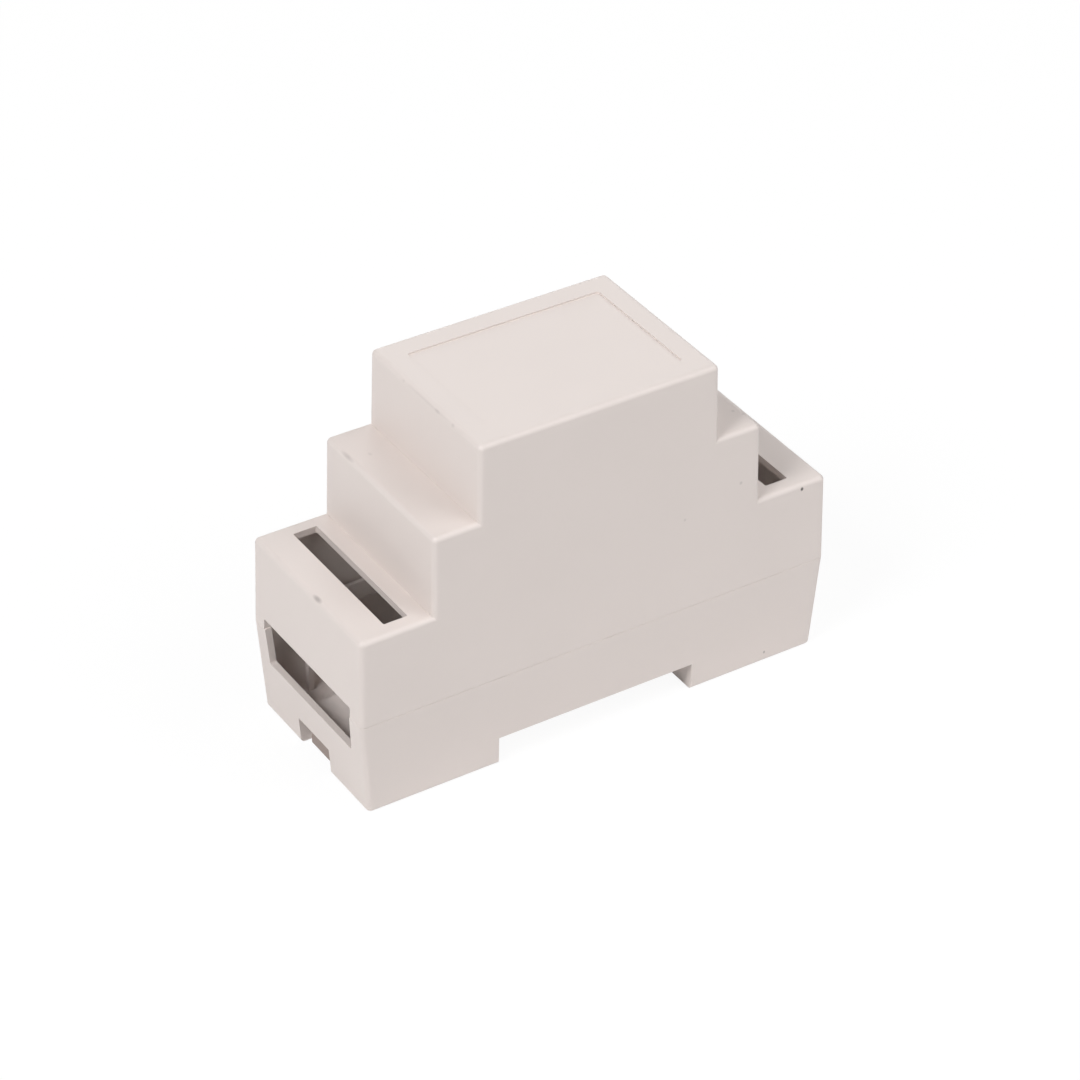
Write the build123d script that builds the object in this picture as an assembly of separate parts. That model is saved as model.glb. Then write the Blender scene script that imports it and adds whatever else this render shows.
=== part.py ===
from build123d import *
import os
from math import radians, tan

# Empty two-module enclosure for a 35 mm top hat rail. Lengths are in millimetres and angles in
# degrees. X runs along the housing, Y across it, and the feet stand on z = 0. The sliding latch
# is in the -X foot and the fixed hook in the +X foot.

# Outside of the housing
LENGTH = 90.0  # over the end walls, at the parting line
WIDTH = 35.0  # two modules, at the parting line
HEIGHT = 63.4
PARTING_Z = 18.1
LOW_STEP_Z = 34.5
MIDDLE_STEP_Z = 49.3
LOW_STEP_LENGTH = 13.7  # of each low step, from the end wall to the riser's foot
MIDDLE_STEP_LENGTH = 8.55  # of each middle step, from riser foot to riser foot
MIDDLE_LENGTH = LENGTH - 2 * LOW_STEP_LENGTH
NOSE_LENGTH = MIDDLE_LENGTH - 2 * MIDDLE_STEP_LENGTH
COVER_END_DRAFT = 1.2
COVER_SIDE_DRAFT = 1.0
BASE_END_TAPER = 1.35  # each end wall runs in by this much between parting line and feet
BASE_SIDE_TAPER = 0.5
EDGE_RADIUS = 0.9
FOOT_RADIUS = 0.8
RIM_CHAMFER = 0.2  # breaks the outer edge of the base's rim

# Walls
COVER_WALL = 1.3
BASE_WALL = 1.2
FLOOR = 1.2
FLOOR_FILLET = 1.2
INNER_WALL = 1.0  # ribs and the latch tunnel

# Terminal windows in the roofs of the low steps
WINDOW_LENGTH = 4.4  # along X
WINDOW_END_DISTANCE = 8.4  # from the end of the housing to the window's middle
WINDOW_MARGIN = 3.05  # from the side of the housing
WINDOW_CORNER = 0.3

# Wire opening in each end wall: the upper part is in the cover, the rest in the base
OPENING_LOW_Z = 11.2
OPENING_TOP_Z = 20.1
OPENING_MARGIN = 3.55  # from the side of the housing to the cover's part
OPENING_STEP = 0.25  # the base's part is narrower by this much on each side
OPENING_RUN_IN = 0.4  # and runs in by this much from the rim to the sill
OPENING_CORNER = 0.3

# Label recess on top of the nose
LABEL_END_MARGIN = 4.5
LABEL_SIDE_MARGIN = 5.2
LABEL_CORNER = 0.6
LABEL_DEPTH = 0.3

# Rail and its slot
RAIL_WIDTH = 35.0
RAIL_FLANGE = 1.0
RAIL_CLEARANCE = 0.1
RAIL_SLOT_LENGTH = 38.0
RAIL_SLOT_DEPTH = 5.4
HOOK_PLAY = 0.2
HOOK_ENGAGEMENT = 1.6
HOOK_WIDTH = 20.0
HOOK_TIP = 0.8  # thickness of the lip at its tip

# Circuit board that the housing is made for
BOARD_Z = 8.8  # underside
BOARD_THICKNESS = 1.6
BOARD_PLAY = 0.2
LEDGE_MIDDLE_X = 8.0
LEDGE_SLOT_DISTANCE = 4.0  # from the rail slot
LEDGE_END_DISTANCE = 9.0  # from the end of the housing
LEDGE_REACH = 1.4  # from the inside of the wall at the parting line
POST_SLOT_DISTANCE = 8.5  # from the rail slot
POST_SIDE_DISTANCE = 6.5  # from the side of the housing
POST_RADIUS = 2.5
PILOT_RADIUS = 1.05
PILOT_DEPTH = 6.5
HOLD_DOWN_X = 14.0
HOLD_DOWN_REACH = 2.3
HOLD_DOWN_TOP_Z = 30.0

# Locating tongues inside the long walls of the base
TONGUE_END_DISTANCE = 5.0  # from the end of the housing
TONGUE_HEIGHT = 1.7
TONGUE_THICKNESS = 1.0
TONGUE_ROOT = 1.5  # depth below the parting line
TONGUE_LEAD_IN = 0.3
FIT_GAP = 0.15

# Latch channel in the -X foot
CHANNEL_HALF_WIDTH = 4.95
CHANNEL_HEIGHT = 5.2
CHANNEL_LIP = 0.6
CHANNEL_LIP_HEIGHT = 1.4
STOP_INSET = 2.65  # from the inside of the end wall to the inner face of the stops
STOP_LENGTH = 1.2
STOP_REACH = 1.0
STOP_HEIGHT = 3.0
LUG_LENGTH = 1.7
LUG_HALF_WIDTH = 1.9
LUG_LOW_Z = 1.0

# Latch
LATCH_TRAVEL = 3.0
LATCH_RECESS = 1.0  # tab end behind the foot of the end wall
LATCH_LOW_Z = 0.95
LATCH_END = 3.3  # body outside of the spring's window
LATCH_HEAD = 2.6  # body between the window and the rail slot
TAB_THICKNESS = 2.15
TAB_HALF_WIDTH = 3.33
TAB_CORNER = 0.4
SLIDE_GAP = 0.15
ROOF_GAP = 0.3
LATCH_ENGAGEMENT = 1.5
LATCH_TIP = 0.7
NOSE_WEDGE = 0.35  # how far the nose's top falls towards its tip
SCREWDRIVER_SLOT = (1.6, 4.0)
SCREWDRIVER_BAR = 1.4  # tab material outside of the slot
STOP_CLEARANCE = 0.05

# Compression spring in the latch's window
SPRING_RADIUS = 1.43  # of the wire's centre line
SPRING_PITCH = 1.18  # of a turn at rest
WIRE_RADIUS = 0.22
WIRE_SIDES = 8  # flats that stand in for the round wire
SPRING_GAP = 0.05
SPRING_SIDE_GAP = 0.5
PEG_CLEARANCE = 0.2
PEG_LENGTH = 1.2

CUT = 1.0  # extra reach of a cut past the faces that it opens


def block(x0, x1, y0, y1, z0, z1):
    """Box between two opposite corners."""
    centre = Pos((x0 + x1) / 2, (y0 + y1) / 2, (z0 + z1) / 2)
    return centre * Box(x1 - x0, y1 - y0, z1 - z0)


def along_y(points, half_width):
    """Outline of (x, z) points, made solid to half_width on both sides of the middle plane."""
    return extrude(Plane.XZ * Polygon(*points, align=None), half_width, both=True)


def along_x(points, length):
    """Outline of (y, z) points, made solid over length, centred on x = 0."""
    return extrude(Plane.YZ * Polygon(*points, align=None), length / 2, both=True)


def both_sides(solid):
    """A solid and its mirror image on the other side of the middle plane."""
    return [solid, mirror(solid, Plane.XZ)]


def trapezoid(low_half, high_half, low_z, high_z):
    return [(-low_half, low_z), (low_half, low_z), (high_half, high_z), (-high_half, high_z)]


def base_half(size, taper, z):
    """Half of the base's length or width at height z."""
    return size / 2 - taper * (PARTING_Z - z) / PARTING_Z


def base_block(inset, low_z, high_z):
    """Tapered block of the base, with its four walls moved in by inset."""
    outlines = [
        trapezoid(*(base_half(size, taper, z) - inset for z in (low_z, high_z)), low_z, high_z)
        for size, taper in ((LENGTH, BASE_END_TAPER), (WIDTH, BASE_SIDE_TAPER))
    ]
    return along_y(outlines[0], WIDTH) & along_x(outlines[1], 2 * LENGTH)


def cover_run_in(rise, draft):
    return rise * tan(radians(draft))


def stepped_block(inset, low_z):
    """The cover's three drafted steps, with every wall and roof moved in by inset."""
    steps = (
        (LENGTH, PARTING_Z, LOW_STEP_Z),
        (MIDDLE_LENGTH, LOW_STEP_Z, MIDDLE_STEP_Z),
        (NOSE_LENGTH, MIDDLE_STEP_Z, HEIGHT),
    )
    right = []
    start_z = low_z
    for length, foot_z, top_z in steps:
        for z in (start_z, top_z - inset):
            right.append((length / 2 - inset - cover_run_in(z - foot_z, COVER_END_DRAFT), z))
        start_z = top_z - inset
    left = [(-x, z) for x, z in reversed(right)]
    steps_along = along_y(right + left, WIDTH)
    top_z = HEIGHT - inset
    halves = [
        WIDTH / 2 - inset - cover_run_in(z - PARTING_Z, COVER_SIDE_DRAFT) for z in (low_z, top_z)
    ]
    return steps_along & along_x(trapezoid(*halves, low_z, top_z), 2 * LENGTH)


def outer_edges(shell):
    """Convex edges of the cover: all but its rim and the feet of the two risers."""
    feet = ((MIDDLE_LENGTH, LOW_STEP_Z), (NOSE_LENGTH, MIDDLE_STEP_Z))

    def keeps_sharp(edge):
        middle = edge.center()
        if middle.Z < PARTING_Z + EDGE_RADIUS / 2:
            return True
        return any(
            abs(abs(middle.X) - length / 2) < EDGE_RADIUS / 10
            and abs(middle.Z - z) < EDGE_RADIUS / 10
            for length, z in feet
        )

    return [edge for edge in shell.edges() if not keeps_sharp(edge)]


def wire_opening(low_half, high_half, low_z, high_z, corner_z):
    """Cutter through both end walls, with its corners at height corner_z rounded."""
    outline = Polygon(*trapezoid(low_half, high_half, low_z, high_z), align=None)
    corners = outline.vertices().filter_by(lambda vertex: vertex.Y == corner_z)
    outline = fillet(corners, OPENING_CORNER)
    return extrude(Plane.YZ * outline, LENGTH / 2 + CUT, both=True)


def cover_opening():
    half = WIDTH / 2 - OPENING_MARGIN
    return wire_opening(half, half, PARTING_Z - CUT, OPENING_TOP_Z, OPENING_TOP_Z)


def base_opening():
    rim_half = WIDTH / 2 - OPENING_MARGIN - OPENING_STEP
    slope = OPENING_RUN_IN / (PARTING_Z - OPENING_LOW_Z)
    high_half = rim_half + CUT * slope
    low_half = rim_half - OPENING_RUN_IN
    return wire_opening(low_half, high_half, OPENING_LOW_Z, PARTING_Z + CUT, OPENING_LOW_Z)


def terminal_windows():
    """Cutters through the roofs of the two low steps."""
    outline = RectangleRounded(WINDOW_LENGTH, WIDTH - 2 * WINDOW_MARGIN, WINDOW_CORNER)
    cutter = extrude(outline, COVER_WALL + CUT, both=True)
    middle_x = LENGTH / 2 - WINDOW_END_DISTANCE
    return [Pos(x, 0, LOW_STEP_Z) * cutter for x in (-middle_x, middle_x)]


def label_recess():
    length = NOSE_LENGTH - 2 * LABEL_END_MARGIN
    outline = RectangleRounded(length, WIDTH - 2 * LABEL_SIDE_MARGIN, LABEL_CORNER)
    return Pos(0, 0, HEIGHT - LABEL_DEPTH) * extrude(outline, LABEL_DEPTH + CUT)


def hold_down_ribs():
    """Ribs that reach down from the cover's long walls and keep the board on its ledges."""
    wall_y = WIDTH / 2 - COVER_WALL
    seat_y = wall_y + COVER_WALL / 3
    inner_y = wall_y - HOLD_DOWN_REACH
    low_z = BOARD_Z + BOARD_THICKNESS + BOARD_PLAY
    low_y = base_half(WIDTH, BASE_SIDE_TAPER, low_z) - BASE_WALL - 2 * FIT_GAP
    outline = [
        (inner_y, low_z),
        (low_y, low_z),
        (low_y, PARTING_Z + 2 * FIT_GAP),
        (seat_y, PARTING_Z + 2 * FIT_GAP),
        (seat_y, HOLD_DOWN_TOP_Z),
        (inner_y, HOLD_DOWN_TOP_Z - HOLD_DOWN_REACH),
    ]
    rib = along_x(outline, INNER_WALL)
    return [Pos(x, 0, 0) * one for x in (-HOLD_DOWN_X, HOLD_DOWN_X) for one in both_sides(rib)]


def make_cover():
    outside = stepped_block(0, PARTING_Z)
    shell = fillet(outer_edges(outside), EDGE_RADIUS)
    shell -= stepped_block(COVER_WALL, PARTING_Z - CUT)
    shell -= terminal_windows()
    shell -= label_recess()
    shell -= cover_opening()
    return shell + hold_down_ribs()


def base_cavity():
    """Inside of the base: two feet and the shallow middle over the rail slot."""
    slot_half = RAIL_SLOT_LENGTH / 2 + BASE_WALL
    hollow = base_block(BASE_WALL, FLOOR, PARTING_Z + CUT)
    hollow -= block(-slot_half, slot_half, -WIDTH, WIDTH, 0, RAIL_SLOT_DEPTH + FLOOR)
    floors = hollow.faces().filter_by(Axis.Z).sort_by(Axis.Z)[:-1]
    edges = [edge for face in floors for edge in face.edges()]
    below = RAIL_SLOT_DEPTH + FLOOR - FLOOR_FILLET / 10
    return fillet([edge for edge in edges if edge.center().Z < below], FLOOR_FILLET)


def locating_tongues():
    """Tongues that stand inside the cover's long walls, notched for the hold-down ribs."""
    wall_y = WIDTH / 2 - COVER_WALL
    outer_y = wall_y - FIT_GAP
    inner_y = outer_y - TONGUE_THICKNESS
    top_z = PARTING_Z + TONGUE_HEIGHT
    low_z = PARTING_Z - TONGUE_ROOT
    seat_y = WIDTH / 2 - BASE_WALL * 2 / 3
    outline = [
        (inner_y, low_z),
        (seat_y, low_z - (seat_y - inner_y)),
        (seat_y, PARTING_Z),
        (outer_y, PARTING_Z),
        (outer_y, top_z - TONGUE_LEAD_IN),
        (outer_y - TONGUE_LEAD_IN, top_z),
        (inner_y, top_z),
    ]
    tongue = along_x(outline, LENGTH - 2 * TONGUE_END_DISTANCE)
    notch_half = INNER_WALL / 2 + FIT_GAP
    notch = block(-notch_half, notch_half, 0, outer_y + FIT_GAP / 2, 0, top_z + CUT)
    tongue -= [Pos(x, 0, 0) * notch for x in (-HOLD_DOWN_X, HOLD_DOWN_X)]
    return both_sides(tongue)


def board_ledges():
    """Upright ribs on the long walls that the board's edges rest on."""
    inner_y = WIDTH / 2 - BASE_WALL - LEDGE_REACH
    slot_half = RAIL_SLOT_LENGTH / 2
    ledges = []
    for x in (LEDGE_MIDDLE_X, slot_half + LEDGE_SLOT_DISTANCE, LENGTH / 2 - LEDGE_END_DISTANCE):
        over_slot = x < slot_half
        low_z = (RAIL_SLOT_DEPTH if over_slot else 0) + FLOOR / 2
        seat_y = base_half(WIDTH, BASE_SIDE_TAPER, low_z) - BASE_WALL / 2
        rib = block(x - INNER_WALL / 2, x + INNER_WALL / 2, inner_y, seat_y, low_z, BOARD_Z)
        ledges += both_sides(rib) + both_sides(mirror(rib, Plane.YZ))
    return ledges


def post_places():
    post_x = RAIL_SLOT_LENGTH / 2 + POST_SLOT_DISTANCE
    post_y = WIDTH / 2 - POST_SIDE_DISTANCE
    return [(x, y) for x in (-post_x, post_x) for y in (-post_y, post_y)]


def board_posts():
    low_z = FLOOR / 2
    post = Pos(0, 0, low_z) * extrude(Circle(POST_RADIUS), BOARD_Z - low_z)
    return [Pos(x, y, 0) * post for x, y in post_places()]


def pilot_holes():
    hole = Pos(0, 0, BOARD_Z - PILOT_DEPTH) * extrude(Circle(PILOT_RADIUS), PILOT_DEPTH + CUT)
    return [Pos(x, y, 0) * hole for x, y in post_places()]


def under_rail_z():
    """Height just under the rail's flanges, where the hook and the latch's nose hold it."""
    return RAIL_SLOT_DEPTH - RAIL_FLANGE - RAIL_CLEARANCE


def fixed_hook():
    """Lip under the rail's edge, on a thick root in the corner of the slot."""
    root_x = RAIL_WIDTH / 2 + HOOK_PLAY
    wall_x = RAIL_SLOT_LENGTH / 2 + BASE_WALL / 2
    tip_x = RAIL_WIDTH / 2 - HOOK_ENGAGEMENT
    lip_z = under_rail_z()
    roof_z = RAIL_SLOT_DEPTH + FLOOR / 2
    low_z = lip_z - HOOK_TIP - (root_x - tip_x)
    outline = [
        (root_x, roof_z),
        (root_x, lip_z),
        (tip_x, lip_z),
        (tip_x, lip_z - HOOK_TIP),
        (root_x, low_z),
        (wall_x, low_z),
        (wall_x, roof_z),
    ]
    return along_y(outline, HOOK_WIDTH / 2)


def latch_tunnel():
    """Walls and roof over the latch channel, up against the end wall and the slot's wall."""
    half_width = CHANNEL_HALF_WIDTH + INNER_WALL
    end_x = base_half(LENGTH, BASE_END_TAPER, 0) - BASE_WALL / 2
    return block(
        -end_x, -RAIL_SLOT_LENGTH / 2, -half_width, half_width, 0, CHANNEL_HEIGHT + INNER_WALL
    )


def latch_channel():
    slot_x = -RAIL_SLOT_LENGTH / 2
    half_width = CHANNEL_HALF_WIDTH
    return block(-LENGTH / 2, slot_x, -half_width, half_width, -CUT, CHANNEL_HEIGHT)


def stop_x():
    """Inner face of the stops that end the latch's travel."""
    return -base_half(LENGTH, BASE_END_TAPER, 0) + BASE_WALL + STOP_INSET


def channel_lips():
    """Lips that carry the latch, each with an upright stop at its outer end."""
    end_x = stop_x()
    slot_x = -RAIL_SLOT_LENGTH / 2
    wall_y = CHANNEL_HALF_WIDTH + INNER_WALL / 2
    lip_y = CHANNEL_HALF_WIDTH - CHANNEL_LIP
    stop_y = CHANNEL_HALF_WIDTH - STOP_REACH
    lip = block(end_x, slot_x, lip_y, wall_y, 0, CHANNEL_LIP_HEIGHT)
    stop = block(end_x - STOP_LENGTH, end_x, stop_y, wall_y, 0, STOP_HEIGHT)
    return both_sides(lip + stop)


def spring_seats():
    """X of the two faces that the spring bears on: the lug's and the latch's."""
    body_x = stop_x() + LATCH_TRAVEL + SLIDE_GAP
    lug_x = body_x + LATCH_END + STOP_CLEARANCE + LUG_LENGTH
    return lug_x, -RAIL_SLOT_LENGTH / 2 - LATCH_HEAD


def spring_z():
    return LATCH_LOW_Z + SPRING_RADIUS + 2 * WIRE_RADIUS


def peg(x, direction):
    """Round peg along X that keeps an end of the spring in place."""
    radius = SPRING_RADIUS - WIRE_RADIUS - PEG_CLEARANCE
    root = LUG_LENGTH / 2
    start = Plane(origin=(x - direction * root, 0, spring_z()), z_dir=(direction, 0, 0))
    return extrude(start * Circle(radius), PEG_LENGTH + root)


def spring_lug():
    """Lug under the tunnel's roof: the latch rests against one face and the spring on the other."""
    lug_x = spring_seats()[0]
    roof_z = CHANNEL_HEIGHT + INNER_WALL / 2
    lug = block(lug_x - LUG_LENGTH, lug_x, -LUG_HALF_WIDTH, LUG_HALF_WIDTH, LUG_LOW_Z, roof_z)
    return lug + peg(lug_x, 1)


def make_base():
    body = base_block(0, 0, PARTING_Z)
    body = fillet(body.edges().filter_by(lambda edge: edge.length < PARTING_Z * 1.1), EDGE_RADIUS)
    body = fillet(body.edges().group_by(Axis.Z)[0], FOOT_RADIUS)
    body = chamfer(body.edges().group_by(Axis.Z)[-1], RIM_CHAMFER)
    slot_half = RAIL_SLOT_LENGTH / 2
    body -= block(-slot_half, slot_half, -WIDTH, WIDTH, -CUT, RAIL_SLOT_DEPTH)
    body -= base_cavity()
    body += latch_tunnel()
    body -= latch_channel()
    body -= base_opening()
    body += channel_lips()
    body += spring_lug()
    body += fixed_hook()
    body += locating_tongues()
    body += board_ledges()
    body += board_posts()
    return body - pilot_holes()


def latch_window():
    """Hole through the latch for the lug and the spring."""
    half_width = SPRING_RADIUS + WIRE_RADIUS + SPRING_SIDE_GAP
    lug_x, head_x = spring_seats()
    start_x = lug_x - LUG_LENGTH - STOP_CLEARANCE
    return block(start_x, head_x, -half_width, half_width, -CUT, 2 * CHANNEL_HEIGHT)


def make_rail_latch():
    tab_x = -base_half(LENGTH, BASE_END_TAPER, LATCH_LOW_Z) + LATCH_RECESS
    body_x = stop_x() + LATCH_TRAVEL + SLIDE_GAP
    root_x = -RAIL_SLOT_LENGTH / 2
    tip_x = -RAIL_WIDTH / 2 + LATCH_ENGAGEMENT
    top_z = CHANNEL_HEIGHT - ROOF_GAP
    nose_z = under_rail_z()
    outline = [
        (tab_x, LATCH_LOW_Z),
        (root_x, LATCH_LOW_Z),
        (tip_x, nose_z - NOSE_WEDGE - LATCH_TIP),
        (tip_x, nose_z - NOSE_WEDGE),
        (root_x, nose_z),
        (root_x, top_z),
        (body_x, top_z),
        (body_x, LATCH_LOW_Z + TAB_THICKNESS),
        (tab_x, LATCH_LOW_Z + TAB_THICKNESS),
    ]
    half_width = CHANNEL_HALF_WIDTH - SLIDE_GAP
    latch = along_y(outline, half_width)
    ledge_y = half_width - CHANNEL_LIP
    ledge = block(tab_x, tip_x, ledge_y, WIDTH, 0, CHANNEL_LIP_HEIGHT + SLIDE_GAP)
    beside_tab = block(tab_x - CUT, body_x, TAB_HALF_WIDTH, WIDTH, 0, CHANNEL_HEIGHT)
    latch -= both_sides(ledge)
    latch -= both_sides(beside_tab)
    ends = latch.edges().filter_by(Axis.Z).group_by(Axis.X)[0]
    latch = fillet(ends, TAB_CORNER)
    latch -= latch_window()
    slot_length, slot_width = SCREWDRIVER_SLOT
    slot_x = tab_x + SCREWDRIVER_BAR
    latch -= block(
        slot_x, slot_x + slot_length, -slot_width / 2, slot_width / 2, 0, CHANNEL_HEIGHT
    )
    return latch + peg(spring_seats()[1], -1)


def make_latch_spring():
    """Coil between the lug and the latch, with both wire ends just clear of their seats."""
    lug_x, head_x = spring_seats()
    margin = WIRE_RADIUS + SPRING_GAP
    reach = head_x - lug_x - 2 * margin
    pitch = reach / max(1, round(reach / SPRING_PITCH))
    path = Helix(pitch, reach, SPRING_RADIUS, direction=(1, 0, 0))
    path = Pos(lug_x + margin, 0, spring_z()) * path
    section = Plane(origin=path @ 0, z_dir=path % 0) * RegularPolygon(WIRE_RADIUS, WIRE_SIDES)
    return sweep(section, path=path, is_frenet=True)


def main():
    os.makedirs("parts", exist_ok=True)
    nodes = {
        "base": make_base(),
        "cover": make_cover(),
        "rail_latch": make_rail_latch(),
        "latch_spring": make_latch_spring(),
    }
    for name, shape in nodes.items():
        export_step(shape, f"parts/{name}.step")


if __name__ == "__main__":
    main()
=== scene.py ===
import math

import bmesh
import bpy
import numpy as np
from bpy.props import (
    FloatProperty,
    FloatVectorProperty,
    IntProperty,
    PointerProperty,
)
from mathutils import Matrix, Vector


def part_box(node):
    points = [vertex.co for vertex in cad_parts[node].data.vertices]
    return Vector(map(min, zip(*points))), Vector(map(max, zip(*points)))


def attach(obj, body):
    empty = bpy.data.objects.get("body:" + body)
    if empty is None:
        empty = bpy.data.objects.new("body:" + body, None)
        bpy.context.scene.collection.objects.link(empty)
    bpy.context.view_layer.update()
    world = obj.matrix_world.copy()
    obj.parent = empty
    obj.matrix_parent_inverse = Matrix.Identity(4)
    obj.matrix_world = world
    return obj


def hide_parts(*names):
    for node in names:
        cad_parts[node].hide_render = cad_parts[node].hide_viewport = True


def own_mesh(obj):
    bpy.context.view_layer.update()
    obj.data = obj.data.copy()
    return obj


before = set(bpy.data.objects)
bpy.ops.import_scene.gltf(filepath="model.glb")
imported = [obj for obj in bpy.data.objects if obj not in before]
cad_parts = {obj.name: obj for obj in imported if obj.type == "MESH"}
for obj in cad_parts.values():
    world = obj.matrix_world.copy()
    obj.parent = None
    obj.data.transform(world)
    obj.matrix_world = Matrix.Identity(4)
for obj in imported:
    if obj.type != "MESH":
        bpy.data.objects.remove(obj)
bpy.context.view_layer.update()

bl_info = {
    "name": "Rail Enclosure Finish",
    "version": (1, 0, 0),
    "blender": (4, 5, 0),
    "location": "View3D > Sidebar > Enclosure",
    "description": "Dresses a packed two-module rail enclosure: plastics, spring, stage and camera",
    "category": "Object",
}

MM = 0.001

HOUSING_NODES = ("base", "cover")
LATCH_NODE = "rail_latch"
SPRING_NODE = "latch_spring"

# Dirt and rubbed marks that the housing carries: middle of the mark, its half size along each
# axis, both in millimetres, and depth of colour from 0 to 1.
MARKS = (
    ((39.88, -17.23, 33.5), (0.36, 0.4, 0.46), 0.97),  # dark speck beside the right window
    ((33.97, -17.05, 1.99), (0.26, 0.3, 0.38), 0.5),  # on the right foot
    ((27.38, -17.13, 39.17), (0.38, 0.4, 0.42), 0.2),  # faint specks on the front side
    ((16.41, -17.19, 35.86), (0.34, 0.4, 0.38), 0.14),
    ((29.35, -11.32, 49.3), (0.4, 0.4, 0.4), 0.16),  # faint specks on the middle steps
    ((30.23, -12.91, 49.3), (0.32, 0.32, 0.4), 0.2),
    ((-27.34, 8.86, 49.3), (0.4, 0.6, 0.4), 0.1),
    ((-44.25, -3.0, 34.45), (0.6, 1.5, 0.5), 0.4),  # scuff on the left end's top edge
    ((-30.8, 10.3, 49.25), (0.6, 2.4, 0.5), 0.24),  # scuff on the middle step's left edge
    ((-22.5, -0.8, 63.1), (0.3, 10.5, 0.45), 0.15),  # rubbed line on the nose's left edge
    ((-22.55, -3.9, 63.05), (0.4, 1.1, 0.5), 0.2),  # darker spots along that line
    ((-22.55, -8.6, 63.05), (0.4, 0.7, 0.5), 0.2),
    ((-22.55, 6.4, 63.05), (0.4, 0.6, 0.5), 0.12),
)
DIRT = (0.03, 0.02, 0.02)
MARK_CORE = 0.3  # share of a mark's reach that has its full depth

# Width of one cell of each pattern and height of the grain, in metres.
HOUSING_CLOUD_SIZE = 0.018
HOUSING_GLOSS_SIZE = 0.006
HOUSING_GRAIN_HEIGHT = 0.00001
LATCH_CLOUD_SIZE = 0.004
LATCH_GLOSS_SIZE = 0.002
LATCH_GRAIN_SIZE = 0.0002
LATCH_GRAIN_HEIGHT = 0.000008
WIRE_STREAK_SIZE = 0.0006
WIRE_GLOSS_SIZE = 0.0003
NOISE_DETAIL = 2.0
GRAIN_STRENGTH = 0.35

# Brightness of each pattern's darker colour, as a share of its lighter one.
HOUSING_SHADE = 0.965
LATCH_SHADE = 0.9
WIRE_SHADE = 0.8

# Roughness: how far the housing's varies each way, and the lowest and highest of the others.
HOUSING_ROUGHNESS_SPREAD = 0.04
LATCH_ROUGHNESS = (0.38, 0.46)
WIRE_ROUGHNESS = (0.24, 0.36)

CLOSED_COIL_PACE = 0.16  # rise of the spring's closed end turns, where an open turn adds 1 to it

FLOOR_DROP = 0.00002  # below the feet, in metres, so that the two don't lie in one plane
FLOOR_ROUGHNESS = 0.9
FLOOR_GLOW = 1.03
FLOOR_GLOW_SHARE = 0.9  # the rest of what the camera sees of the floor is its lit surface
SKY_STRENGTH = 0.11

# Square lamps: name, place and side in metres, and power in watts.
LAMPS = (
    ("key", (-1.093, -0.293, 1.161), 0.6, 16.8),  # above the left end
    ("fill", (0.727, -0.867, 1.161), 1.1, 11.8),  # above the front, to the right
    ("top", (0.0, 0.0, 1.63), 0.8, 1.2),
    ("back", (0.752, 1.302, 0.577), 0.8, 3.8),
)
LAMP_TARGET = (0.0, 0.0, 0.03)

SENSOR_WIDTH = 36.0  # in millimetres
CAMERA_RANGE = (0.01, 50.0)


def millimetres(values):
    return Vector(values) * MM


class HousingSettings(bpy.types.PropertyGroup):
    """Finish of the two housing halves."""

    colour: FloatVectorProperty(
        name="Plastic colour",
        description="Colour of the moulded housing",
        subtype="COLOR",
        size=3,
        min=0.0,
        max=1.0,
        default=(0.80, 0.724, 0.688),
    )
    roughness: FloatProperty(
        name="Roughness",
        description="Roughness of the matt moulded skin",
        subtype="FACTOR",
        min=0.0,
        max=1.0,
        default=0.5,
    )
    grain: FloatProperty(
        name="Grain",
        description="Width of one cell of the mould's spark-eroded grain",
        subtype="DISTANCE",
        unit="LENGTH",
        min=0.0,
        default=0.00022,
    )


class LatchSettings(bpy.types.PropertyGroup):
    """Finish of the sliding foot latch."""

    colour: FloatVectorProperty(
        name="Latch colour",
        description="Colour of the moulded latch",
        subtype="COLOR",
        size=3,
        min=0.0,
        max=1.0,
        default=(0.31, 0.235, 0.205),
    )


class SpringSettings(bpy.types.PropertyGroup):
    """Sizes of the latch's compression spring."""

    turns: IntProperty(
        name="Turns",
        description="Turns of wire from end to end",
        min=3,
        default=9,
    )
    wire: FloatProperty(
        name="Wire",
        description="Diameter of the wire",
        subtype="DISTANCE",
        unit="LENGTH",
        min=0.0,
        default=0.00044,
    )
    colour: FloatVectorProperty(
        name="Wire colour",
        description="Colour of the drawn steel wire",
        subtype="COLOR",
        size=3,
        min=0.0,
        max=1.0,
        default=(0.52, 0.52, 0.54),
    )


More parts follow.
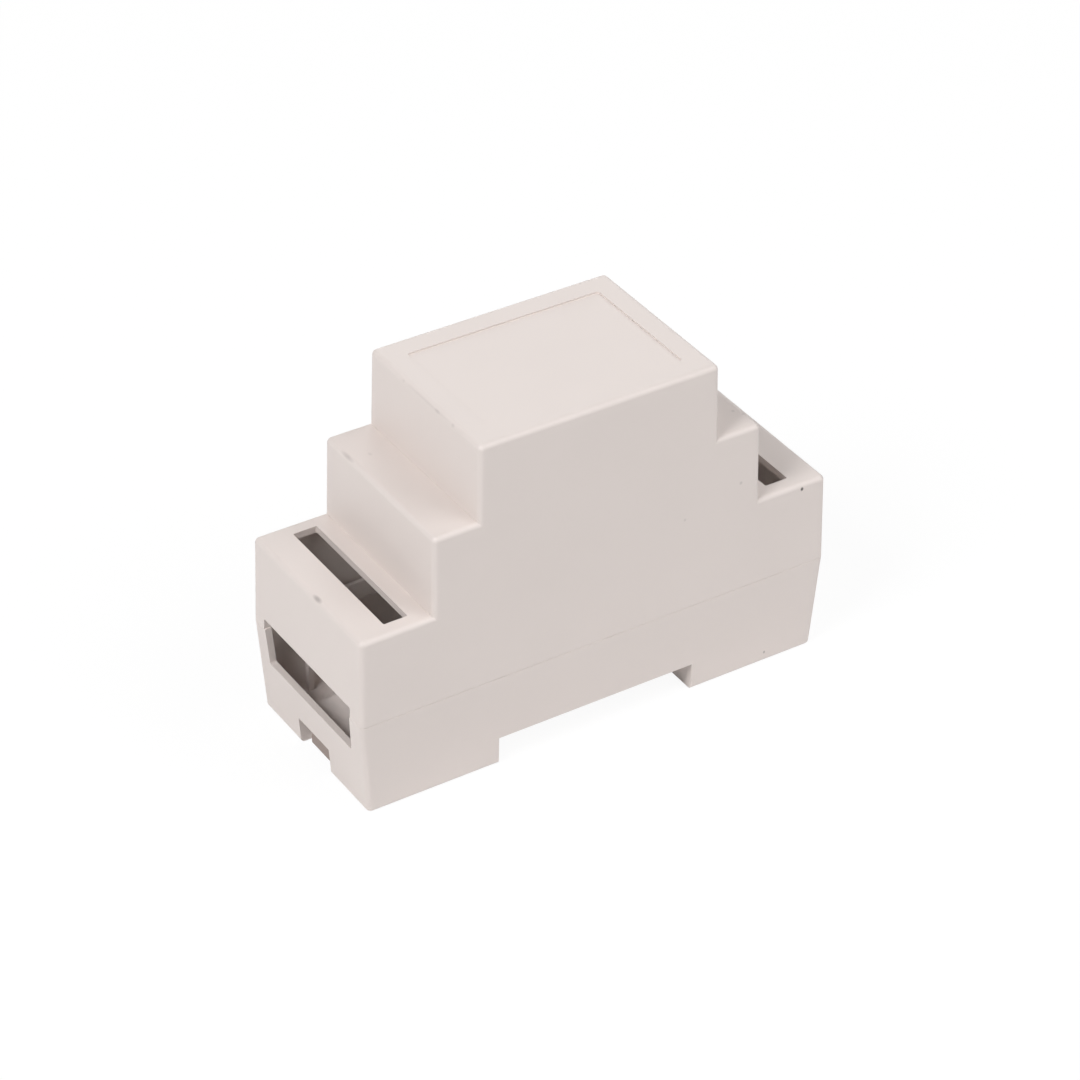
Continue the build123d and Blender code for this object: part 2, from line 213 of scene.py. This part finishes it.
class StageSettings(bpy.types.PropertyGroup):
    """Camera, floor and light."""

    azimuth: FloatProperty(
        name="Azimuth",
        description="Direction that the camera looks from, round the housing",
        subtype="ANGLE",
        unit="ROTATION",
        default=math.radians(-32.757),
    )
    elevation: FloatProperty(
        name="Elevation",
        description="Height of the camera over the horizon",
        subtype="ANGLE",
        unit="ROTATION",
        default=math.radians(35.279),
    )
    roll: FloatProperty(
        name="Roll",
        description="Turn of the camera about its own line of sight",
        subtype="ANGLE",
        unit="ROTATION",
        default=math.radians(0.635),
    )
    distance: FloatProperty(
        name="Distance",
        description="Distance from the camera to the point it looks at",
        subtype="DISTANCE",
        unit="LENGTH",
        default=0.62631,
    )
    target: FloatVectorProperty(
        name="Target",
        description="Point that the camera looks at",
        subtype="TRANSLATION",
        unit="LENGTH",
        size=3,
        default=(-0.002182, -0.002613, 0.030),
    )
    lens: FloatProperty(
        name="Lens",
        description="Focal length in millimetres on a sensor 36 mm wide",
        default=127.40,
    )
    floor_size: FloatProperty(
        name="Floor",
        description="Length of one side of the floor",
        subtype="DISTANCE",
        unit="LENGTH",
        default=6.0,
    )
    floor_colour: FloatVectorProperty(
        name="Floor colour",
        description="Colour of the pale floor",
        subtype="COLOR",
        size=3,
        min=0.0,
        max=1.0,
        default=(0.86, 0.86, 0.86),
    )


def link(tree, start, end):
    tree.links.new(start, end)


def new_material(name):
    """Empty node material with one Principled shader, and the shader's tree."""
    material = bpy.data.materials.new(name)
    material.use_nodes = True
    return material, material.node_tree, material.node_tree.nodes["Principled BSDF"]


def object_noise(tree, size):
    """Noise on Object coordinates whose cells are about size metres wide."""
    place = tree.nodes.new("ShaderNodeTexCoord")
    noise = tree.nodes.new("ShaderNodeTexNoise")
    noise.inputs["Scale"].default_value = 1.0 / size
    noise.inputs["Detail"].default_value = NOISE_DETAIL
    link(tree, place.outputs["Object"], noise.inputs["Vector"])
    return noise.outputs["Fac"]


def darker(colour, share):
    return tuple(channel * share for channel in colour)


def remap(tree, value, low, high):
    """Spreads a value from 0 to 1 over low to high."""
    spread = tree.nodes.new("ShaderNodeMapRange")
    spread.inputs["To Min"].default_value = low
    spread.inputs["To Max"].default_value = high
    link(tree, value, spread.inputs["Value"])
    return spread.outputs["Result"]


def mix_colour(tree, factor, start, end):
    """Mix of two colours, each a tuple or a socket."""
    mix = tree.nodes.new("ShaderNodeMix")
    mix.data_type = "RGBA"
    sockets = {s.identifier: s for s in mix.inputs}
    for name, colour in (("A_Color", start), ("B_Color", end)):
        if isinstance(colour, tuple):
            sockets[name].default_value = (*colour, 1.0)
        else:
            link(tree, colour, sockets[name])
    link(tree, factor, sockets["Factor_Float"])
    return next(s for s in mix.outputs if s.identifier == "Result_Color")


def mark_mask(tree, place, reach, depth):
    """A soft oval spot about a point: depth at its middle, 0 past its reach along each axis.

    The offset from the point is divided by the reach, so its length is 1 at the spot's edge.
    """
    source = tree.nodes.new("ShaderNodeTexCoord").outputs["Object"]
    for operation, value in (("SUBTRACT", place), ("DIVIDE", reach)):
        step = tree.nodes.new("ShaderNodeVectorMath")
        step.operation = operation
        step.inputs[1].default_value = millimetres(value)
        link(tree, source, step.inputs[0])
        source = step.outputs["Vector"]
    length = tree.nodes.new("ShaderNodeVectorMath")
    length.operation = "LENGTH"
    link(tree, source, length.inputs[0])
    spot = tree.nodes.new("ShaderNodeMapRange")
    spot.inputs["From Min"].default_value = MARK_CORE
    spot.inputs["From Max"].default_value = 1.0
    spot.inputs["To Min"].default_value = depth
    spot.inputs["To Max"].default_value = 0.0
    link(tree, length.outputs["Value"], spot.inputs["Value"])
    return spot.outputs["Result"]


def grain_bump(tree, shader, size, height):
    """Fine bump from noise whose cells are size metres wide and height metres deep."""
    bump = tree.nodes.new("ShaderNodeBump")
    bump.inputs["Strength"].default_value = GRAIN_STRENGTH
    bump.inputs["Distance"].default_value = height
    link(tree, object_noise(tree, size), bump.inputs["Height"])
    link(tree, bump.outputs["Normal"], shader.inputs["Normal"])


def housing_plastic(settings):
    """Warm light grey plastic with a fine matt grain, faint flow clouds and a few marks."""
    material, tree, shader = new_material("housing_plastic")
    base = tuple(settings.colour)
    clouds = object_noise(tree, HOUSING_CLOUD_SIZE)
    colour = mix_colour(tree, clouds, base, darker(base, HOUSING_SHADE))
    for place, reach, depth in MARKS:
        colour = mix_colour(tree, mark_mask(tree, place, reach, depth), colour, DIRT)
    link(tree, colour, shader.inputs["Base Color"])
    low = settings.roughness - HOUSING_ROUGHNESS_SPREAD
    high = settings.roughness + HOUSING_ROUGHNESS_SPREAD
    rough = remap(tree, object_noise(tree, HOUSING_GLOSS_SIZE), low, high)
    link(tree, rough, shader.inputs["Roughness"])
    grain_bump(tree, shader, settings.grain, HOUSING_GRAIN_HEIGHT)
    return material


def latch_plastic(settings):
    """Grey brown plastic, smoother than the housing."""
    material, tree, shader = new_material("latch_plastic")
    base = tuple(settings.colour)
    clouds = object_noise(tree, LATCH_CLOUD_SIZE)
    colour = mix_colour(tree, clouds, base, darker(base, LATCH_SHADE))
    link(tree, colour, shader.inputs["Base Color"])
    rough = remap(tree, object_noise(tree, LATCH_GLOSS_SIZE), *LATCH_ROUGHNESS)
    link(tree, rough, shader.inputs["Roughness"])
    grain_bump(tree, shader, LATCH_GRAIN_SIZE, LATCH_GRAIN_HEIGHT)
    return material


def spring_steel(settings):
    """Drawn wire: bright metal with fine streaks."""
    material, tree, shader = new_material("spring_steel")
    base = tuple(settings.colour)
    streaks = object_noise(tree, WIRE_STREAK_SIZE)
    colour = mix_colour(tree, streaks, base, darker(base, WIRE_SHADE))
    link(tree, colour, shader.inputs["Base Color"])
    shader.inputs["Metallic"].default_value = 1.0
    rough = remap(tree, object_noise(tree, WIRE_GLOSS_SIZE), *WIRE_ROUGHNESS)
    link(tree, rough, shader.inputs["Roughness"])
    return material


def dress(node, material):
    """Puts the material in every slot of a CAD node."""
    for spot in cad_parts[node].material_slots:
        spot.material = material


def mesh_from_grid(name, grid):
    """Closed tube from a (rings, around, 3) grid of points: quads join the rings, caps close it."""
    rings, around, _ = grid.shape
    index = np.arange(rings * around).reshape(rings, around)
    turned = np.roll(index, -1, axis=1)
    quads = np.stack([index[:-1], turned[:-1], turned[1:], index[1:]], axis=-1).reshape(-1, 4)
    faces = quads.tolist() + [index[0, ::-1].tolist(), index[-1].tolist()]
    mesh = bpy.data.meshes.new(name)
    mesh.from_pydata(grid.reshape(-1, 3).tolist(), [], faces)
    mesh.update()
    piece = bpy.data.objects.new(name, mesh)
    bpy.context.scene.collection.objects.link(piece)
    return piece


def coil_grid(low, high, wire, turns, per_turn=36, around=12):
    """Compression spring along X that fills the box from low to high.

    The centre line is a circle in Y and Z whose X grows with the turns: slowly over the first
    and last turn, so the end coils close, and evenly between them. The tube is that line with a
    circle of the wire's radius round it, and both ends are ground flat.
    """
    radius = wire / 2
    centre = (low + high) / 2
    coil = min(high[1] - low[1], high[2] - low[2]) / 2 - radius
    turn = np.linspace(0.0, turns, turns * per_turn + 1)
    pace = np.clip(np.minimum(turn, turns - turn), 0.0, 1.0) ** 2 + CLOSED_COIL_PACE
    share = np.concatenate([[0.0], np.cumsum((pace[1:] + pace[:-1]) / 2)])
    x = low[0] + radius * 0.5 + (high[0] - low[0] - radius) * share / share[-1]
    angle = 2 * np.pi * turn
    out = np.stack([np.zeros_like(angle), np.cos(angle), np.sin(angle)], axis=-1)
    line = np.stack([x, centre[1] + coil * out[:, 1], centre[2] + coil * out[:, 2]], axis=-1)
    ahead = np.gradient(line, axis=0)
    ahead /= np.linalg.norm(ahead, axis=1, keepdims=True)
    side = np.cross(ahead, out)
    phi = np.linspace(0.0, 2 * np.pi, around, endpoint=False)[None, :, None]
    grid = line[:, None] + radius * (np.cos(phi) * out[:, None] + np.sin(phi) * side[:, None])
    grid[..., 0] = np.clip(grid[..., 0], low[0], high[0])
    return grid


def recalculate_normals(piece):
    """Turns every face of a closed mesh outwards."""
    work = bmesh.new()
    work.from_mesh(piece.data)
    bmesh.ops.recalc_face_normals(work, faces=work.faces)
    work.to_mesh(piece.data)
    work.free()


class ENCLOSURE_OT_housing(bpy.types.Operator):
    """Dress the base and the cover in their moulded plastic"""

    bl_idname = "enclosure.housing"
    bl_label = "Housing plastic"

    def execute(self, context):
        material = housing_plastic(context.scene.enclosure_housing)
        for node in HOUSING_NODES:
            dress(node, material)
        return {"FINISHED"}


class ENCLOSURE_OT_latch(bpy.types.Operator):
    """Dress the sliding latch"""

    bl_idname = "enclosure.latch"
    bl_label = "Latch plastic"

    def execute(self, context):
        dress(LATCH_NODE, latch_plastic(context.scene.enclosure_latch))
        return {"FINISHED"}


class ENCLOSURE_OT_spring(bpy.types.Operator):
    """Wind the latch's spring at its packed length, fixed to the housing; the real one shortens as
    the latch is pulled out
    """

    bl_idname = "enclosure.spring"
    bl_label = "Latch spring"

    def execute(self, context):
        settings = context.scene.enclosure_spring
        low, high = (np.array(corner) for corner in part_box(SPRING_NODE))
        piece = mesh_from_grid("wound_spring", coil_grid(low, high, settings.wire, settings.turns))
        recalculate_normals(piece)
        piece.data.shade_smooth()
        piece.data.materials.append(spring_steel(settings))
        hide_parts(SPRING_NODE)
        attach(piece, "housing")
        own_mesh(piece)
        return {"FINISHED"}


def background_share(tree, share):
    """Share where a ray comes from the camera, a reflection or a clear body, and 0 elsewhere."""
    seen = tree.nodes.new("ShaderNodeLightPath")
    total = seen.outputs["Is Camera Ray"]
    for kind in ("Is Glossy Ray", "Is Transmission Ray"):
        more = tree.nodes.new("ShaderNodeMath")
        more.operation = "MAXIMUM"
        link(tree, total, more.inputs[0])
        link(tree, seen.outputs[kind], more.inputs[1])
        total = more.outputs["Value"]
    scaled = tree.nodes.new("ShaderNodeMath")
    scaled.operation = "MULTIPLY"
    scaled.inputs[1].default_value = share
    link(tree, total, scaled.inputs[0])
    return scaled.outputs["Value"]


def floor_material(settings):
    """Pale matt floor that the camera sees as white, with the housing's shadow left on it."""
    material, tree, shader = new_material("pale_floor")
    shader.inputs["Base Color"].default_value = (*settings.floor_colour, 1.0)
    shader.inputs["Roughness"].default_value = FLOOR_ROUGHNESS
    shader.inputs["Specular IOR Level"].default_value = 0.0
    glow = tree.nodes.new("ShaderNodeEmission")
    glow.inputs["Color"].default_value = (1.0, 1.0, 1.0, 1.0)
    glow.inputs["Strength"].default_value = FLOOR_GLOW
    mix = tree.nodes.new("ShaderNodeMixShader")
    link(tree, background_share(tree, FLOOR_GLOW_SHARE), mix.inputs["Fac"])
    link(tree, shader.outputs["BSDF"], mix.inputs[1])
    link(tree, glow.outputs["Emission"], mix.inputs[2])
    link(tree, mix.outputs["Shader"], tree.nodes["Material Output"].inputs["Surface"])
    return material


def make_floor(settings):
    """Flat square just under the feet, centred below the housing."""
    half = settings.floor_size / 2
    ramp = np.linspace(-half, half, 2)
    x, y = np.meshgrid(ramp, ramp, indexing="ij")
    points = np.stack([x, y, np.full_like(x, -FLOOR_DROP)], axis=-1).reshape(-1, 3)
    mesh = bpy.data.meshes.new("floor")
    mesh.from_pydata(points.tolist(), [], [(0, 2, 3, 1)])
    floor = bpy.data.objects.new("floor", mesh)
    mesh.materials.append(floor_material(settings))
    bpy.context.scene.collection.objects.link(floor)


def soft_light(name, place, size, power):
    """Square area light that faces the housing."""
    lamp = bpy.data.lights.new(name, "AREA")
    lamp.shape = "SQUARE"
    lamp.size = size
    lamp.energy = power
    light = bpy.data.objects.new(name, lamp)
    light.location = place
    light.rotation_euler = (Vector(LAMP_TARGET) - Vector(place)).to_track_quat("-Z", "Y").to_euler()
    bpy.context.scene.collection.objects.link(light)


def make_world():
    """Weak even light from all sides, which the camera and reflections see as white."""
    world = bpy.data.worlds.new("studio")
    world.use_nodes = True
    tree = world.node_tree
    sky = tree.nodes["Background"]
    sky.inputs["Color"].default_value = (1.0, 1.0, 1.0, 1.0)
    sky.inputs["Strength"].default_value = SKY_STRENGTH
    bright = tree.nodes.new("ShaderNodeBackground")
    bright.inputs["Strength"].default_value = 1.0
    mix = tree.nodes.new("ShaderNodeMixShader")
    link(tree, background_share(tree, 1.0), mix.inputs["Fac"])
    link(tree, sky.outputs["Background"], mix.inputs[1])
    link(tree, bright.outputs["Background"], mix.inputs[2])
    link(tree, mix.outputs["Shader"], tree.nodes["World Output"].inputs["Surface"])
    bpy.context.scene.world = world


def make_camera(settings):
    """Camera on a sphere about the target, looking at it, then rolled about its line of sight."""
    azimuth, elevation, roll = settings.azimuth, settings.elevation, settings.roll
    back = Vector(
        (
            math.sin(azimuth) * math.cos(elevation),
            -math.cos(azimuth) * math.cos(elevation),
            math.sin(elevation),
        )
    )
    right = (-back).cross(Vector((0.0, 0.0, 1.0))).normalized()
    up = right.cross(-back)
    x_axis = math.cos(roll) * right + math.sin(roll) * up
    y_axis = math.cos(roll) * up - math.sin(roll) * right
    turn = Matrix((x_axis, y_axis, back)).transposed().to_4x4()
    data = bpy.data.cameras.new("camera")
    data.sensor_width = SENSOR_WIDTH
    data.lens = settings.lens
    data.clip_start, data.clip_end = CAMERA_RANGE
    camera = bpy.data.objects.new("camera", data)
    place = Vector(settings.target) + back * settings.distance
    camera.matrix_world = Matrix.Translation(place) @ turn
    bpy.context.scene.collection.objects.link(camera)
    bpy.context.scene.camera = camera


class ENCLOSURE_OT_stage(bpy.types.Operator):
    """Set up the pale floor, the soft light and the camera"""

    bl_idname = "enclosure.stage"
    bl_label = "Stage and camera"

    def execute(self, context):
        settings = context.scene.enclosure_stage
        make_floor(settings)
        make_world()
        for lamp in LAMPS:
            soft_light(*lamp)
        make_camera(settings)
        context.scene.view_settings.view_transform = "Standard"
        return {"FINISHED"}


class ENCLOSURE_PT_finish(bpy.types.Panel):
    """Lists the steps and the sizes that they use"""

    bl_idname = "ENCLOSURE_PT_finish"
    bl_label = "Rail enclosure"
    bl_space_type = "VIEW_3D"
    bl_region_type = "UI"
    bl_category = "Enclosure"

    def draw(self, context):
        for operator, group in STEPS:
            column = self.layout.column(align=True)
            column.operator(operator.bl_idname)
            settings = getattr(context.scene, group)
            for name in settings.bl_rna.properties.keys():
                if name not in ("rna_type", "name"):
                    column.prop(settings, name)


STEPS = (
    (ENCLOSURE_OT_housing, "enclosure_housing"),
    (ENCLOSURE_OT_latch, "enclosure_latch"),
    (ENCLOSURE_OT_spring, "enclosure_spring"),
    (ENCLOSURE_OT_stage, "enclosure_stage"),
)
GROUPS = {
    "enclosure_housing": HousingSettings,
    "enclosure_latch": LatchSettings,
    "enclosure_spring": SpringSettings,
    "enclosure_stage": StageSettings,
}
CLASSES = (*GROUPS.values(), *(step for step, _ in STEPS), ENCLOSURE_PT_finish)


def register():
    for cls in CLASSES:
        bpy.utils.register_class(cls)
    for name, group in GROUPS.items():
        setattr(bpy.types.Scene, name, PointerProperty(type=group))


def unregister():
    for name in GROUPS:
        delattr(bpy.types.Scene, name)
    for cls in reversed(CLASSES):
        bpy.utils.unregister_class(cls)


def main():
    register()
    bpy.ops.enclosure.housing()
    bpy.ops.enclosure.latch()
    bpy.ops.enclosure.spring()
    bpy.ops.enclosure.stage()


if __name__ == "__main__":
    main()
